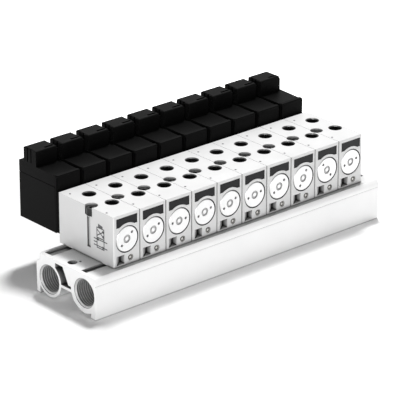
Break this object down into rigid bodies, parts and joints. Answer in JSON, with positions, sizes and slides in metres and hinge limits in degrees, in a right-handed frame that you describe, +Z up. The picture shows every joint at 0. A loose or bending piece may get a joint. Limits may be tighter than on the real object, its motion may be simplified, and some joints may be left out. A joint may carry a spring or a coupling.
{
  "type": "pneumatic valve island",
  "caption": "Row of slim solenoid valves side by side on an extruded rail with two gallery bores, each with a black coil behind it and a push button at its foot.",
  "frame": {"origin": "on the surface the island stands on, under the middle of its bounding box", "axes": "+X along the row of valves, +Y from their front faces to the coils, +Z up"},
  "size_m": [0.2568, 0.1062, 0.0869],
  "materials": {
    "rail_alloy": "satin, natural anodised extrusion",
    "valve_alloy": "satin, blasted",
    "plug_alloy": "satin, turned",
    "coil_plastic": "matt black, moulded",
    "pilot_plastic": "matt black, moulded",
    "label_plastic": "dark grey, smooth",
    "button_brass": "nickel plated",
    "plated_steel": "zinc plated",
    "gasket_rubber": "matt black"
  },
  "bodies": {
    "island": {"manifold_rail": "rail_alloy", "gallery_plugs": "plated_steel", "valve_gaskets": "gasket_rubber", "label_plates": "label_plastic", "end_plugs": "plug_alloy", "pilot_plates": "pilot_plastic", "valve_body_01": "valve_alloy", "coil_01": "coil_plastic", "valve_body_02": "valve_alloy", "coil_02": "coil_plastic", "valve_body_03": "valve_alloy", "coil_03": "coil_plastic", "valve_body_04": "valve_alloy", "coil_04": "coil_plastic", "valve_body_05": "valve_alloy", "coil_05": "coil_plastic", "valve_body_06": "valve_alloy", "coil_06": "coil_plastic", "valve_body_07": "valve_alloy", "coil_07": "coil_plastic", "valve_body_08": "valve_alloy", "coil_08": "coil_plastic", "valve_body_09": "valve_alloy", "coil_09": "coil_plastic", "valve_body_10": "valve_alloy", "coil_10": "coil_plastic"},
    "button_01": {"override_button_01": "button_brass"},
    "button_02": {"override_button_02": "button_brass"},
    "button_03": {"override_button_03": "button_brass"},
    "button_04": {"override_button_04": "button_brass"},
    "button_05": {"override_button_05": "button_brass"},
    "button_06": {"override_button_06": "button_brass"},
    "button_07": {"override_button_07": "button_brass"},
    "button_08": {"override_button_08": "button_brass"},
    "button_09": {"override_button_09": "button_brass"},
    "button_10": {"override_button_10": "button_brass"}
  },
  "joints": [
    {"name": "override_push_01", "type": "slide", "parent": "island", "child": "button_01", "axis": [0, 1, 0], "range_m": [0, 0.0012], "stiffness_N_per_m": 1500},
    {"name": "override_push_02", "type": "slide", "parent": "island", "child": "button_02", "axis": [0, 1, 0], "range_m": [0, 0.0012], "stiffness_N_per_m": 1500},
    {"name": "override_push_03", "type": "slide", "parent": "island", "child": "button_03", "axis": [0, 1, 0], "range_m": [0, 0.0012], "stiffness_N_per_m": 1500},
    {"name": "override_push_04", "type": "slide", "parent": "island", "child": "button_04", "axis": [0, 1, 0], "range_m": [0, 0.0012], "stiffness_N_per_m": 1500},
    {"name": "override_push_05", "type": "slide", "parent": "island", "child": "button_05", "axis": [0, 1, 0], "range_m": [0, 0.0012], "stiffness_N_per_m": 1500},
    {"name": "override_push_06", "type": "slide", "parent": "island", "child": "button_06", "axis": [0, 1, 0], "range_m": [0, 0.0012], "stiffness_N_per_m": 1500},
    {"name": "override_push_07", "type": "slide", "parent": "island", "child": "button_07", "axis": [0, 1, 0], "range_m": [0, 0.0012], "stiffness_N_per_m": 1500},
    {"name": "override_push_08", "type": "slide", "parent": "island", "child": "button_08", "axis": [0, 1, 0], "range_m": [0, 0.0012], "stiffness_N_per_m": 1500},
    {"name": "override_push_09", "type": "slide", "parent": "island", "child": "button_09", "axis": [0, 1, 0], "range_m": [0, 0.0012], "stiffness_N_per_m": 1500},
    {"name": "override_push_10", "type": "slide", "parent": "island", "child": "button_10", "axis": [0, 1, 0], "range_m": [0, 0.0012], "stiffness_N_per_m": 1500}
  ]
}
